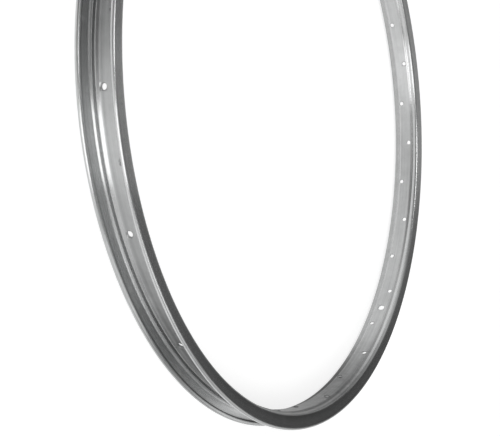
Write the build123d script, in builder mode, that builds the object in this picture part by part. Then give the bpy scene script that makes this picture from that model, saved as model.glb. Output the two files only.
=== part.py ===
from build123d import *
from math import atan2, cos, radians, sin, tan
import os

os.makedirs("parts", exist_ok=True)

# Driving dimensions, in millimetres and degrees.
# The rim lies flat: its axle line is Z, and its mid-plane is Z = 0.
bead_seat_radius = 279.5  # tyre side of the shoulders, where the tyre's beads sit
rim_width = 32.0  # over both lips
wall = 1.4  # thickness of the rolled strip
flange_rise = 11.25  # from a bead seat up to the crown of its lip
flange_lean = 12.5  # how far each flange leans outwards
shoulder_width = 4.6  # from the foot of a flange in to the well
well_run = 2.2  # width of the slope between a shoulder and the bed
well_depth = 1.6  # from the shoulders down to the bed
foot_bend = 2.4  # cut across the outside of the bend below a flange
lip_height = 3.2  # how far the folded edge comes back down the flange
lip_crown = 0.8  # cut across each edge of a lip
spoke_holes = 36
spoke_hole = 4.4  # diameter
spoke_offset = 3.8  # each hole's distance from the mid-plane, to alternate sides
valve_hole = 6.5  # diameter
valve_edge = 0.4  # width of the broken edge round the valve hole, on the tyre side
valve_edge_angle = 90.0  # across that edge's cone

# Radii of the lips, and of the strip's spoke side and tyre side.
rim_radius = bead_seat_radius + flange_rise
shoulder_radius = bead_seat_radius - wall
bed_radius = shoulder_radius - well_depth
floor_radius = bed_radius + wall

# Points of the section are (radius, height above the mid-plane).
# The flange runs from its foot on the spoke side up to the lip.
lean = radians(flange_lean)
flange_height = rim_radius - shoulder_radius
lip_corner = Vector(rim_radius, rim_width / 2 + lip_crown * sin(lean))
foot = lip_corner - Vector(flange_height, flange_height * tan(lean))
well_half_width = foot.Y - shoulder_width
bed_half_width = well_half_width - well_run

# On its tyre side the strip runs parallel, and the lip is the strip folded double.
slope = atan2(well_depth, well_run)
well_half_inside = well_half_width - wall * tan(slope / 2)
bed_half_inside = well_half_inside - well_run
down_flange = Vector(-cos(lean), -sin(lean))
through_flange = Vector(sin(lean), -cos(lean))
inner_foot = Vector(bead_seat_radius, foot.Y + wall * tan(lean) - wall / cos(lean))
lip_inner_corner = lip_corner - Vector(0, 2 * wall / cos(lean))
fold_end = lip_inner_corner + down_flange * lip_height
fold_root = fold_end - through_flange * wall

# Each bend is drawn as one flat, and the strip keeps its thickness through it.
turn = radians(90) - lean
inner_bend = foot_bend - wall * tan(turn / 4) / cos(turn / 2)
bends = (
    (foot, foot_bend),
    (inner_foot, inner_bend),
    (lip_corner, lip_crown),
    (lip_inner_corner, lip_crown),
)

# Rim: a hoop of strip rolled to a drop-centre channel, with its lips folded in.
with BuildPart() as rim:
    with BuildSketch(Plane.XZ) as section:
        with BuildLine() as outline:
            Polyline(
                (bed_radius, 0),
                (bed_radius, bed_half_width),
                (shoulder_radius, well_half_width),
                foot,
                lip_corner,
                lip_inner_corner,
                fold_end,
                fold_root,
                inner_foot,
                (bead_seat_radius, well_half_inside),
                (floor_radius, bed_half_inside),
                (floor_radius, 0),
            )
            mirror(about=Plane.XZ)
        make_face()
        for corner, cut in bends:
            for side in (1, -1):
                point = (corner.X, side * corner.Y)
                chamfer(section.vertices().sort_by_distance(point)[0], cut)
    revolve(axis=Axis.Z)

    # Spoke holes alternate from side to side, with the valve hole between two of them, on +X.
    # Each punch comes in from the tyre side and starts clear of the bed.
    punch_rise = wall
    punch_radius = floor_radius + punch_rise
    punch_depth = punch_rise + 2 * wall
    half_step = 180 / spoke_holes
    for side in (1, -1):
        with PolarLocations(0, spoke_holes // 2, side * half_step):
            with Locations(Location((punch_radius, 0, side * spoke_offset), (0, 90, 0))):
                Hole(spoke_hole / 2, punch_depth)
    with Locations(Location((punch_radius, 0, 0), (0, 90, 0))):
        cone_spread = punch_rise * tan(radians(valve_edge_angle / 2))
        cone_radius = valve_hole / 2 + valve_edge + cone_spread
        CounterSinkHole(valve_hole / 2, cone_radius, punch_depth, valve_edge_angle)

rim.part.label = "rim"
export_step(rim.part, "parts/rim.step")
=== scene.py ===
import math

import bpy
import numpy as np
from mathutils import Matrix, Vector


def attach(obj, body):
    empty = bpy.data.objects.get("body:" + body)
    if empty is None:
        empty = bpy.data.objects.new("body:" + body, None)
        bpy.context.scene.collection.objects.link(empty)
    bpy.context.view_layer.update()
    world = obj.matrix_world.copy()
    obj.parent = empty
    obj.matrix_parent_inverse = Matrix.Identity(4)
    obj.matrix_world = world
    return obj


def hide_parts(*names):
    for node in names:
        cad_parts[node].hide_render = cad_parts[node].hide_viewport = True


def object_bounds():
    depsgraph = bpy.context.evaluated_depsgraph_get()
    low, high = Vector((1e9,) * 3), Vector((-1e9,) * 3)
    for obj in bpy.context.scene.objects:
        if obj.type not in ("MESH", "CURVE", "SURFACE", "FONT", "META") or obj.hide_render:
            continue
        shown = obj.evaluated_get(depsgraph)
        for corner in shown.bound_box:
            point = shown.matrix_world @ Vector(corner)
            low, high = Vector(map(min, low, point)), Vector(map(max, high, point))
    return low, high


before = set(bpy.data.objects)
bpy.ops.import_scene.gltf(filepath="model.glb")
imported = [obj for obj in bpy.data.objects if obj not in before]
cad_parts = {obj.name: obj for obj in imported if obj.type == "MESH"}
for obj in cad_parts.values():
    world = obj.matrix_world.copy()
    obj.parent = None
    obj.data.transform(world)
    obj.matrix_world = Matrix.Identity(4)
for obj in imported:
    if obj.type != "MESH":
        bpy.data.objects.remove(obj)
cad_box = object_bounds()

# Rim: a hoop of steel strip, roll-formed to a drop-centre channel and welded end to end.
# Each edge of the strip is folded back on its flange to make a rounded lip. The holes are
# punched and dished from the tyre side, and the whole hoop is then chrome plated.
# Sizes are in millimetres. The section's points are (radius, height above the mid-plane).
mm = 0.001  # in the scene's metres
bead_seat_radius = 279.5  # tyre side of the shoulders
rim_radius = 290.75  # over the lips
half_width = 16.0  # from the mid-plane to the outside of a lip
wall = 1.4
lean = math.radians(12.5)  # of each flange, outwards
shoulder_width = 4.75  # from the foot of a flange in to the well
well_run = 2.2  # width of the slope between a shoulder and the bed
well_depth = 1.6
lip_height = 3.2  # how far the folded edge comes back down the flange
fold_gap = 0.6  # left open inside the fold by its bend

# Radii of the bends. On their inside, those of the bed and the shoulder are less by the wall.
bed_bend = 3.2  # outside, where the slope of the well leaves the bed
shoulder_bend = 2.4  # outside, where that slope meets the shoulder
foot_bend = 3.2  # outside, where a flange leaves its shoulder
foot_bend_inside = 2.6
lip_round = 1.68
fold_edge_round = 0.45  # on the cut edge of the strip
fold_root_round = 0.12  # where that edge meets the flange

# A corner is where two straight runs would meet. The lip's is set so that its round ends at half_width.
shoulder_radius = bead_seat_radius - wall
bed_radius = shoulder_radius - well_depth
floor_radius = bed_radius + wall
lip_corner = np.array((rim_radius, half_width - lip_round + lip_round / math.tan(math.pi / 4 - lean / 2)))
flange_rise = rim_radius - shoulder_radius
foot = lip_corner - flange_rise * np.array((1, math.tan(lean)))
inner_foot = np.array((bead_seat_radius, foot[1] + wall * math.tan(lean) - wall / math.cos(lean)))
up_flange = np.array((math.cos(lean), math.sin(lean)))
through_flange = np.array((math.sin(lean), -math.cos(lean)))
lip_inner_corner = lip_corner - np.array((0, (2 * wall + fold_gap) / math.cos(lean)))
fold_end = lip_inner_corner - lip_height * up_flange
fold_root = fold_end - (wall + fold_gap) * through_flange
well_half = foot[1] - shoulder_width
bed_half = well_half - well_run
slope_shift = wall * math.tan(math.atan2(well_depth, well_run) / 2)

# Half of the section, from the middle of the spoke side round the lip to the middle of the
# tyre side: each corner's radius and height, and the radius of its bend.
half_section = (
    (bed_radius, 0, 0),
    (bed_radius, bed_half, bed_bend),
    (shoulder_radius, well_half, shoulder_bend - wall),
    (*foot, foot_bend),
    (*lip_corner, lip_round),
    (*lip_inner_corner, lip_round),
    (*fold_end, fold_edge_round),
    (*fold_root, fold_root_round),
    (*inner_foot, foot_bend_inside),
    (bead_seat_radius, well_half - slope_shift, shoulder_bend),
    (floor_radius, bed_half - slope_shift, bed_bend - wall),
    (floor_radius, 0, 0),
)


def rolled_line(corners, arc_points=40):
    """Straight runs joined by tangent arcs, as points with the line's heading at each."""
    points = np.array([corner[:2] for corner in corners])
    runs = np.diff(points, axis=0)
    headings = np.unwrap(np.arctan2(runs[:, 1], runs[:, 0]))
    line = [(*points[0], headings[0])]
    for corner, point, before, after in zip(corners[1:], points[1:], headings, headings[1:]):
        bend = math.copysign(corner[2], after - before)
        run_in = np.array((math.cos(before), math.sin(before)))
        start = point - bend * math.tan((after - before) / 2) * run_in
        centre = start + bend * np.array((-math.sin(before), math.cos(before)))
        for heading in np.linspace(before, after, arc_points):
            on_arc = centre + bend * np.array((math.sin(heading), -math.cos(heading)))
            line.append((*on_arc, heading))
    line.append((*points[-1], headings[-1]))
    return np.array(line).T


path_r, path_z, path_heading = rolled_line(half_section)
path_s = np.concatenate(([0], np.cumsum(np.hypot(np.diff(path_r), np.diff(path_z)))))
half_length = path_s[-1]


def section_at(s):
    """Radius, height, and the same two parts of the normal, at a distance round the whole section."""
    s = np.mod(s, 2 * half_length)
    side = np.where(s > half_length, -1.0, 1.0)
    s = np.minimum(s, 2 * half_length - s)
    heading = np.interp(s, path_s, path_heading)
    radius = np.interp(s, path_s, path_r)
    return radius, side * np.interp(s, path_s, path_z), -np.sin(heading), side * np.cos(heading)


def round_axle(radius, height, angle):
    """Points in space, from radii, heights and angles about the axle line."""
    return np.stack((radius * np.cos(angle), radius * np.sin(angle), height + 0 * angle), axis=-1)


# The mesh's rows run round the hoop: the middle of the bed, those through the holes, then the
# rest of the section, closest on the bends. Cells about the holes are square.
spoke_holes = 36
spoke_hole = 2.2  # radius, as are the next two
spoke_dish = 2.9
valve_hole = 3.25
spoke_offset = 3.8  # each hole's distance from the mid-plane, to alternate sides
cell = 1.06
spoke_cells = 3  # each way from the middle of a spoke hole
hole_cells = np.arange(-spoke_cells, spoke_cells + 1)
bend_step = math.radians(15)
run_step = 3.0
bed_rows = np.concatenate(([0], spoke_offset + cell * hole_cells))
first_hole_row = 1
last_hole_row = len(bed_rows) - 1
steps = np.cumsum(np.diff(path_s) / run_step + np.abs(np.diff(path_heading)) / bend_step)
steps = np.concatenate(([0], steps))
first, last = np.interp((bed_rows[-1], half_length - bed_rows[-1]), path_s, steps)
even_steps = np.linspace(first, last, math.ceil(last - first) + 1)[1:-1]
other_rows = np.interp(even_steps, steps, path_s)
half_rows = np.concatenate((bed_rows, other_rows, half_length - bed_rows[::-1]))
rows = np.concatenate((half_rows, 2 * half_length - half_rows[-2:0:-1]))
tyre_row = len(half_rows) - 1  # in the middle of the tyre side

# Columns run across the strip, and start opposite the valve hole.
hole_step = 2 * math.pi / spoke_holes
cell_angle = cell / floor_radius
plain_columns = 5  # from a hole's cells to midway between two holes
hole_columns = np.concatenate((
    np.linspace(-hole_step / 2, cell_angle * hole_cells[0], plain_columns)[:-1],
    cell_angle * hole_cells,
    np.linspace(cell_angle * hole_cells[-1], hole_step / 2, plain_columns)[1:-1],
))
hole_angles = math.pi + hole_step * (np.arange(spoke_holes) + 0.5)
valve_angle = 2 * math.pi
valve_cells = 4  # each way from the middle of the valve hole
valve_columns = valve_angle + cell_angle * np.arange(-valve_cells, valve_cells + 1)
columns = (hole_angles[:, None] + hole_columns[None, :]).ravel()
columns = columns[np.abs(columns - valve_angle) > cell_angle * (valve_cells + 0.5)]
columns = np.sort(np.concatenate((columns, valve_columns)))

row_r, row_z, row_nr, row_nz = section_at(rows)
points = round_axle(row_r[:, None], row_z[:, None], columns[None, :])
row_count, column_count = points.shape[:2]
normals = round_axle(row_nr[:, None], row_nz[:, None], columns[None, :]).reshape(-1, 3)
points = list(points.reshape(-1, 3))
kept = np.ones((row_count, column_count), dtype=bool)
faces = []


def corner_index(row, column):
    """The number of the point where a row and a column cross."""
    return (row % row_count) * column_count + column % column_count


def punch(angle, offset, low, high, half_cells, rings):
    """Open a hole between two rows: rings of points lead through the wall to the tyre side.

    A ring is whether it is on the tyre side, its radius, and its lift away from the axle."""
    left = int(np.argmin(np.abs(columns - angle + cell_angle * half_cells)))
    right = int(np.argmin(np.abs(columns - angle - cell_angle * half_cells)))
    for column in range(left, right):
        kept[np.arange(low, high) % row_count, column] = False
        kept[np.arange(tyre_row - high, tyre_row - low), column] = False
    border = [(high, column) for column in range(left, right)]
    border += [(row, right) for row in range(high, low, -1)]
    border += [(low, column) for column in range(right, left, -1)]
    border += [(row, left) for row in range(low, high)]
    across = np.array([rows[row % row_count] - (2 * half_length if row < 0 else 0) for row, _ in border])
    along = (columns[[column for _, column in border]] - angle) * floor_radius
    turn = np.arctan2(along, across - offset)
    loops = [[corner_index(row, column) for row, column in border]]
    for tyre_side, ring, lift in rings:
        s = offset + ring * np.cos(turn)
        radius, height, _, _ = section_at(half_length - s if tyre_side else s)
        loops.append(list(range(len(points), len(points) + len(border))))
        points.extend(round_axle(radius + lift, height, angle + ring * np.sin(turn) / floor_radius))
    loops.append([corner_index(tyre_row - row, column) for row, column in border])
    for outer, inner in zip(loops, loops[1:]):
        for here, there in zip(range(-1, len(border) - 1), range(len(border))):
            faces.append((outer[here], outer[there], inner[there], inner[here]))


# A spoke hole's dish is pressed towards the axle in a smooth slope. Every hole's edges are broken.
dish_depth = 0.4
hole_edge = 0.25
dish_slope = np.array((0.0, 0.16, 0.5, 0.84, 1.0))  # share of the depth, from the dish's rim inwards
dish_rings = np.linspace(spoke_dish, spoke_hole + hole_edge, len(dish_slope))
spoke_rings = [(False, ring, -dish_depth * share) for ring, share in zip(dish_rings, dish_slope)]
spoke_rings.append((False, spoke_hole, hole_edge - dish_depth))
spoke_rings.append((True, spoke_hole, -hole_edge - dish_depth))
spoke_rings += [(True, ring, lift) for _, ring, lift in spoke_rings[len(dish_slope) - 1::-1]]
for index, angle in enumerate(hole_angles):
    if index % 2:
        punch(angle, -spoke_offset, -last_hole_row, -first_hole_row, spoke_cells, spoke_rings)
    else:
        punch(angle, spoke_offset, first_hole_row, last_hole_row, spoke_cells, spoke_rings)

valve_edge = 0.4  # on the tyre side
valve_row = 5  # leaves room for the valve hole and its edge
valve_rings = (
    (False, valve_hole + hole_edge, 0),
    (False, valve_hole, hole_edge),
    (True, valve_hole, -valve_edge),
    (True, valve_hole + valve_edge, 0),
)
punch(valve_angle, 0.0, -valve_row, valve_row, valve_cells, valve_rings)
for row, column in np.argwhere(kept):
    faces.append((
        corner_index(row, column),
        corner_index(row + 1, column),
        corner_index(row + 1, column + 1),
        corner_index(row, column + 1),
    ))

# On the rolled surface the shading follows the true section, and only round the holes the mesh.
rim_mesh = bpy.data.meshes.new("rim_plated")
rim_mesh.from_pydata((np.array(points) * mm).tolist(), [], faces, shade_flat=False)
shading = np.zeros(3 * len(points))
rim_mesh.vertex_normals.foreach_get("vector", shading)
shading = shading.reshape(-1, 3)
shading[: len(normals)] = normals
rim_mesh.normals_split_custom_set_from_vertices(shading.tolist())
rim = bpy.data.objects.new("rim_plated", rim_mesh)
bpy.context.scene.collection.objects.link(rim)
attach(rim, "root")
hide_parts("rim")


def linear(colour):
    """A hex sRGB colour as linear RGBA."""
    parts = [int(colour[index:index + 2], 16) / 255 for index in (1, 3, 5)]
    return (*[p / 12.92 if p <= 0.04045 else ((p + 0.055) / 1.055) ** 2.4 for p in parts], 1.0)


def add_node(material, kind, settings=None, **inputs):
    """Add a node, set its properties and sockets, and link the sockets that are given as outputs.

    A socket is named with _ for each space, or numbered, as _0."""
    node = material.node_tree.nodes.new(kind)
    for name, value in (settings or {}).items():
        setattr(node, name, value)
    for name, value in inputs.items():
        socket = node.inputs[int(name[1:])] if name[1:].isdigit() else node.inputs[name.replace("_", " ")]
        if isinstance(value, bpy.types.NodeSocket):
            material.node_tree.links.new(value, socket)
        else:
            socket.default_value = value
    return node


# Chrome-plated steel: bright on the flanges and shoulders, which are buffed, and satin on the bed,
# which keeps the fine lines that the rolls leave along the strip and that draw reflections out
# across it. The lips are softer than the flanges, because folding stretched them. The plating is
# mottled, and painted shade darkens it in patches, under the folds and on its lower half.
chrome = bpy.data.materials.new("chrome_plated_steel")
chrome.use_nodes = True
chrome.node_tree.nodes.clear()
eased = {"interpolation_type": "SMOOTHSTEP"}

# Where a point is, and which way its face looks.
coordinates = add_node(chrome, "ShaderNodeTexCoord")
place = coordinates.outputs["Object"]
place_xyz = add_node(chrome, "ShaderNodeSeparateXYZ", Vector=place)
flat_place = add_node(chrome, "ShaderNodeVectorMath", {"operation": "MULTIPLY"}, _0=place, _1=(1, 1, 0))
from_axle = add_node(chrome, "ShaderNodeVectorMath", {"operation": "LENGTH"}, _0=flat_place.outputs[0])
from_middle = add_node(chrome, "ShaderNodeMath", {"operation": "ABSOLUTE"}, _0=place_xyz.outputs["Z"])
round_angle = add_node(
    chrome, "ShaderNodeMath", {"operation": "ARCTAN2"}, _0=place_xyz.outputs["Y"], _1=place_xyz.outputs["X"],
)
normal_xyz = add_node(chrome, "ShaderNodeSeparateXYZ", Vector=coordinates.outputs["Normal"])
from_middle_facing = add_node(
    chrome, "ShaderNodeMath", {"operation": "MULTIPLY"},
    _0=place_xyz.outputs["Z"], _1=normal_xyz.outputs["Z"],
)
from_axle_facing = add_node(
    chrome, "ShaderNodeVectorMath", {"operation": "DOT_PRODUCT"},
    _0=coordinates.outputs["Normal"], _1=flat_place.outputs[0],
)

# from_middle_facing is 0 on the bed and the shoulders, about 14 mm on the outside of a flange, and
# about -12 mm on its inside. from_axle_facing is about -280 mm on the bed's spoke side, and 280 mm
# on its tyre side.
side_change = 50 * mm
spoke_side = add_node(
    chrome, "ShaderNodeMapRange", Value=from_axle_facing.outputs["Value"],
    From_Min=-side_change, From_Max=side_change, To_Min=1.0, To_Max=0.0,
)

# Roll lines, which change the roughness a little from line to line.
streak_width = 1.6 * mm  # real roll lines are finer, but would be lost at this size
streak_length = 140 * mm
streak_contrast = 0.15
along_strip = add_node(
    chrome, "ShaderNodeMath", {"operation": "MULTIPLY"},
    _0=round_angle.outputs[0], _1=floor_radius * mm * streak_width / streak_length,
)
strip_place = add_node(
    chrome, "ShaderNodeCombineXYZ",
    X=along_strip.outputs[0], Y=from_axle.outputs["Value"], Z=place_xyz.outputs["Z"],
)
streaks = add_node(
    chrome, "ShaderNodeTexNoise",
    Vector=strip_place.outputs[0], Scale=1 / streak_width, Detail=3.0, Roughness=0.6,
)
streak_roughness = add_node(
    chrome, "ShaderNodeMapRange", Value=streaks.outputs["Fac"],
    From_Min=0.3, From_Max=0.7, To_Min=1 - streak_contrast, To_Max=1 + streak_contrast,
)

# Roughness of the bed, shoulders, flanges and lips.
bed_roughness = 0.42
shoulder_roughness = 0.24
flange_roughness = 0.22
lip_roughness = 0.27
satin_end = 5.5 * mm  # from the mid-plane, as is the next
shoulder_full = 7.5 * mm  # where the shoulder's finish is full
bed_finish = add_node(
    chrome, "ShaderNodeMapRange", eased, Value=from_middle.outputs[0],
    From_Min=satin_end, From_Max=shoulder_full, To_Min=bed_roughness, To_Max=shoulder_roughness,
)
outside_flange = add_node(
    chrome, "ShaderNodeMapRange", eased, Value=from_middle_facing.outputs[0],
    From_Min=2.0 * mm, From_Max=9.0 * mm, To_Min=0.0, To_Max=1.0,
)
flange_finish = add_node(
    chrome, "ShaderNodeMapRange",
    Value=outside_flange.outputs[0], To_Min=bed_finish.outputs[0], To_Max=flange_roughness,
)
lip_start = (rim_radius - 3.25) * mm
lip_full = (rim_radius - 1.75) * mm
on_lip = add_node(
    chrome, "ShaderNodeMapRange", eased, Value=from_axle.outputs["Value"],
    From_Min=lip_start, From_Max=lip_full, To_Min=0.0, To_Max=1.0,
)
finish = add_node(
    chrome, "ShaderNodeMapRange",
    Value=on_lip.outputs[0], To_Min=flange_finish.outputs[0], To_Max=lip_roughness,
)
lined_finish = add_node(
    chrome, "ShaderNodeMath", {"operation": "MULTIPLY"}, _0=finish.outputs[0], _1=streak_roughness.outputs[0],
)

# The share of the plating's brightness that is taken away: first mottling, which is all over it, then painted
# shade.
mottling = 0.16
stain_size = 9 * mm
stains = add_node(
    chrome, "ShaderNodeTexNoise", Vector=place, Scale=1 / stain_size, Detail=4.0, Roughness=0.65,
)
marks = add_node(
    chrome, "ShaderNodeMath", {"operation": "ADD"}, _0=streaks.outputs["Fac"], _1=stains.outputs["Fac"],
)
mottle_and_painted_shade = add_node(
    chrome, "ShaderNodeMapRange",
    Value=marks.outputs[0], From_Min=0.7, From_Max=1.3, To_Min=0.0, To_Max=mottling,
).outputs[0]

# Painted shade: on the lower half, the one that lies on the floor, the spoke side and the outside of the
# flange are made darker.
lower_half_shade = 0.22
lower_shade_full = -9.0 * mm
lower_shade_gone = -6.0 * mm
shaded_lower_half = add_node(
    chrome, "ShaderNodeMapRange", eased, Value=place_xyz.outputs["Z"],
    From_Min=lower_shade_full, From_Max=lower_shade_gone, To_Min=lower_half_shade, To_Max=0.0,
)
mottle_and_painted_shade = add_node(
    chrome, "ShaderNodeMath", {"operation": "MULTIPLY_ADD"},
    _0=shaded_lower_half.outputs[0], _1=spoke_side.outputs[0], _2=mottle_and_painted_shade,
).outputs[0]

# Painted shade on the inside of the flanges, under the folds.
fold_shade = 0.28
fold_shade_start = (rim_radius - 5.75) * mm
fold_shade_full = (rim_radius - 3.75) * mm
fold_shade_fade = (rim_radius - 2.75) * mm
near_fold = add_node(
    chrome, "ShaderNodeMapRange", eased, Value=from_axle.outputs["Value"],
    From_Min=fold_shade_start, From_Max=fold_shade_full, To_Min=0.0, To_Max=fold_shade,
)
below_lip = add_node(
    chrome, "ShaderNodeMapRange", eased, Value=from_axle.outputs["Value"],
    From_Min=fold_shade_fade, From_Max=lip_full, To_Min=1.0, To_Max=0.0,
)
inside_flange = add_node(
    chrome, "ShaderNodeMapRange", eased, Value=from_middle_facing.outputs[0],
    From_Min=-12.0 * mm, From_Max=-6.0 * mm, To_Min=1.0, To_Max=0.0,
)
under_fold = add_node(
    chrome, "ShaderNodeMath", {"operation": "MULTIPLY"}, _0=inside_flange.outputs[0], _1=below_lip.outputs[0],
)
mottle_and_painted_shade = add_node(
    chrome, "ShaderNodeMath", {"operation": "MULTIPLY_ADD"},
    _0=near_fold.outputs[0], _1=under_fold.outputs[0], _2=mottle_and_painted_shade,
).outputs[0]

# Patches of painted shade, which make parts of the hoop darker. Angles are in degrees about the axle line
# from the valve hole: a patch is full up to its first spread either way from its middle, and gone at its
# second. It reaches so many millimetres from the mid-plane, on its spoke side or on both.
both_sides = 1.0
patch_edge = 3  # width of its fade across the strip
for middle, full, gone, share, reach, side in (
    (-46, 8, 42, 0.65, 15.3, spoke_side.outputs[0]),
    (-84, 8, 24, 0.22, 12, both_sides),
    (-80, 5, 15, 0.22, 16, both_sides),
    (-143, 6, 17, 0.3, 12, both_sides),
):
    off_middle = add_node(
        chrome, "ShaderNodeMath", {"operation": "SUBTRACT"},
        _0=round_angle.outputs[0], _1=math.radians(middle),
    )
    nearness = add_node(chrome, "ShaderNodeMath", {"operation": "COSINE"}, _0=off_middle.outputs[0])
    along_patch = add_node(
        chrome, "ShaderNodeMapRange", eased, Value=nearness.outputs[0],
        From_Min=math.cos(math.radians(gone)), From_Max=math.cos(math.radians(full)),
        To_Min=0.0, To_Max=share,
    )
    across_patch = add_node(
        chrome, "ShaderNodeMapRange", eased, Value=from_middle.outputs[0],
        From_Min=(reach - patch_edge) * mm, From_Max=reach * mm, To_Min=side, To_Max=0.0,
    )
    mottle_and_painted_shade = add_node(
        chrome, "ShaderNodeMath", {"operation": "MULTIPLY_ADD"},
        _0=along_patch.outputs[0], _1=across_patch.outputs[0], _2=mottle_and_painted_shade,
    ).outputs[0]

# Where painted shade takes most of the brightness, the plating is made rough too.
least_roughness = 0.2
shaded_roughness = 0.4
rough_shade_from = 0.5  # share of the brightness that is lost, as is the next
rough_shade_full = 0.68
shaded_finish = add_node(
    chrome, "ShaderNodeMapRange", Value=mottle_and_painted_shade,
    From_Min=rough_shade_from, From_Max=rough_shade_full, To_Min=least_roughness, To_Max=shaded_roughness,
)
finish_rougher_in_shade = add_node(
    chrome, "ShaderNodeMath", {"operation": "MAXIMUM"},
    _0=lined_finish.outputs[0], _1=shaded_finish.outputs[0],
)
plating = add_node(
    chrome, "ShaderNodeMix", {"data_type": "RGBA"},
    Factor=mottle_and_painted_shade, _6=linear("#CCCDCD"), _7=linear("#000000"),
)
along_hoop = add_node(chrome, "ShaderNodeTangent", {"direction_type": "RADIAL", "axis": "Z"})
chrome_shader = add_node(
    chrome, "ShaderNodeBsdfPrincipled",
    Base_Color=plating.outputs[2], Metallic=1.0, Roughness=finish_rougher_in_shade.outputs[0],
    Anisotropic=0.8, Anisotropic_Rotation=0.25, Tangent=along_hoop.outputs[0],
)
add_node(chrome, "ShaderNodeOutputMaterial", Surface=chrome_shader.outputs["BSDF"])
rim_mesh.materials.append(chrome)

# Floor: a sheet of matt white card that the rim lies on, larger than the camera can see.
# It has a glow that only the camera and what mirrors or lets through light can see, so that
# the card looks white and keeps the rim's shadow.
floor_half = 6000 * mm
floor_level = cad_box[0][2]
floor_mesh = bpy.data.meshes.new("floor")
floor_mesh.from_pydata(
    [(-floor_half, -floor_half, floor_level), (floor_half, -floor_half, floor_level),
     (floor_half, floor_half, floor_level), (-floor_half, floor_half, floor_level)],
    [], [(0, 1, 2, 3)],
)
floor = bpy.data.objects.new("floor", floor_mesh)
bpy.context.scene.collection.objects.link(floor)
card_glow = 0.7
card = bpy.data.materials.new("white_card_matt")
card.use_nodes = True
card.node_tree.nodes.clear()
card_matt = add_node(card, "ShaderNodeBsdfDiffuse", Color=linear("#C4C4C4"))
ray = add_node(card, "ShaderNodeLightPath")
seen = add_node(
    card, "ShaderNodeMath", {"operation": "ADD"},
    _0=ray.outputs["Is Camera Ray"], _1=ray.outputs["Is Glossy Ray"],
)
seen_or_through = add_node(
    card, "ShaderNodeMath", {"operation": "ADD", "use_clamp": True},
    _0=seen.outputs[0], _1=ray.outputs["Is Transmission Ray"],
)
card_level = add_node(
    card, "ShaderNodeMath", {"operation": "MULTIPLY"}, _0=seen_or_through.outputs[0], _1=card_glow,
)
card_white = add_node(card, "ShaderNodeEmission", Color=linear("#FFFFFF"), Strength=card_level.outputs[0])
card_shader = add_node(card, "ShaderNodeAddShader", _0=card_matt.outputs[0], _1=card_white.outputs[0])
add_node(card, "ShaderNodeOutputMaterial", Surface=card_shader.outputs[0])
floor_mesh.materials.append(card)

# Camera: it looks down on the rim along the photograph's line of sight, and is rolled on its
# side, because the photograph shows the rim standing up. The shift puts the part of the hoop
# that the photograph shows in the frame. Angles are in degrees about the axle line.
camera_azimuth = -121.107
camera_reach = 667.075 * mm  # from the axle line
camera_height = 324.48 * mm  # above the mid-plane
sight_azimuth = -124.906  # of the line of sight, taken back towards the camera
sight_elevation = 30.072
camera_roll = 86.465


def way(azimuth, elevation):
    """A direction, in degrees about the axle line from the camera's side, and degrees up."""
    turn = math.radians(azimuth + camera_azimuth)
    rise = math.radians(elevation)
    return Vector((math.cos(rise) * math.cos(turn), math.cos(rise) * math.sin(turn), math.sin(rise)))


camera_data = bpy.data.cameras.new("camera")
camera_data.sensor_width = 36.0
camera_data.lens = 57.455
camera_data.shift_x = -0.0017
camera_data.shift_y = -0.1386
camera_data.clip_start = 10 * mm
camera = bpy.data.objects.new("camera", camera_data)
camera_place = camera_reach * way(0, 0) + Vector((0, 0, camera_height))
turned = Matrix.Rotation(math.radians(sight_azimuth + 90), 4, "Z")
tilted = Matrix.Rotation(math.radians(90 - sight_elevation), 4, "X")
rolled = Matrix.Rotation(math.radians(camera_roll), 4, "Z")
camera.matrix_world = Matrix.Translation(camera_place) @ turned @ tilted @ rolled
bpy.context.scene.collection.objects.link(camera)
bpy.context.scene.camera = camera
bpy.context.scene.view_settings.view_transform = "Standard"

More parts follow.
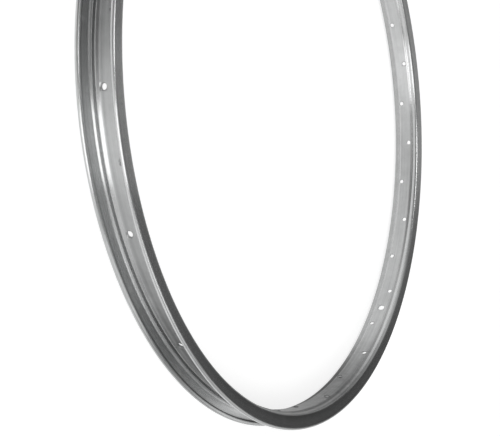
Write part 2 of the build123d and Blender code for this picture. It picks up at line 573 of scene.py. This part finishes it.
# Light: a long narrow soft box overhead, a tall one behind the camera, a wide one beside it and
# two small weak ones ahead, in a grey room with darker and lighter parts.
# Each part has its direction, the degrees from it within which the change of grey is full and
# beyond which it is gone, and the change.
world = bpy.data.worlds.new("studio")
world.use_nodes = True
world.node_tree.nodes.clear()
sky_way = add_node(world, "ShaderNodeTexCoord").outputs["Generated"]
grey = 0.58
for direction, full, gone, change in (
    (way(0, 90), 15, 50, -0.36),
    (way(172, 27), 8, 30, -0.50),
    (way(-138, 8), 5, 18, 0.12),
    (way(-160, 32), 5, 14, -0.24),
    (way(-33, 22), 10, 27, -0.36),
    (way(-65, 45), 6, 24, -0.22),
    (way(95, 10), 5, 25, -0.10),
    (way(-85, 10), 10, 35, 0.14),
    (way(38, 25), 6, 24, 0.30),
    (way(131, 30), 5, 15, 0.50),
    (way(-55, 70), 5, 15, 0.90),
):
    nearness = add_node(world, "ShaderNodeVectorMath", {"operation": "DOT_PRODUCT"}, _0=sky_way, _1=direction)
    part = add_node(
        world, "ShaderNodeMapRange", eased, Value=nearness.outputs["Value"],
        From_Min=math.cos(math.radians(gone)), From_Max=math.cos(math.radians(full)),
        To_Min=0.0, To_Max=change,
    )
    grey = add_node(world, "ShaderNodeMath", {"operation": "ADD"}, _0=grey, _1=part.outputs[0]).outputs[0]
sky = add_node(world, "ShaderNodeBackground", Color=grey, Strength=1.0)
add_node(world, "ShaderNodeOutputWorld", Surface=sky.outputs[0])
bpy.context.scene.world = world


def soft_box(name, direction, distance, size, radiance):
    """A rectangular lamp that faces the middle of the hoop. Sizes are in metres."""
    lamp_data = bpy.data.lights.new(name, "AREA")
    lamp_data.shape = "RECTANGLE"
    lamp_data.size, lamp_data.size_y = size
    lamp_data.energy = radiance * math.pi * size[0] * size[1]
    lamp = bpy.data.objects.new(name, lamp_data)
    lamp.location = distance * direction
    lamp.rotation_euler = direction.to_track_quat("Z", "Y").to_euler()
    bpy.context.scene.collection.objects.link(lamp)


soft_box("overhead", way(-82, 76), distance=1.8, size=(1.1, 0.2), radiance=3.6)
soft_box("behind_camera", way(8, 30), distance=2.4, size=(0.9, 2.6), radiance=1.6)
soft_box("beside_camera", way(72, 53), distance=2.4, size=(1.6, 0.8), radiance=1.3)
soft_box("ahead_low", way(180, 19.4), distance=0.93, size=(0.26, 0.2), radiance=0.22)
soft_box("ahead_high", way(180, 34), distance=1.22, size=(0.34, 0.17), radiance=0.4)
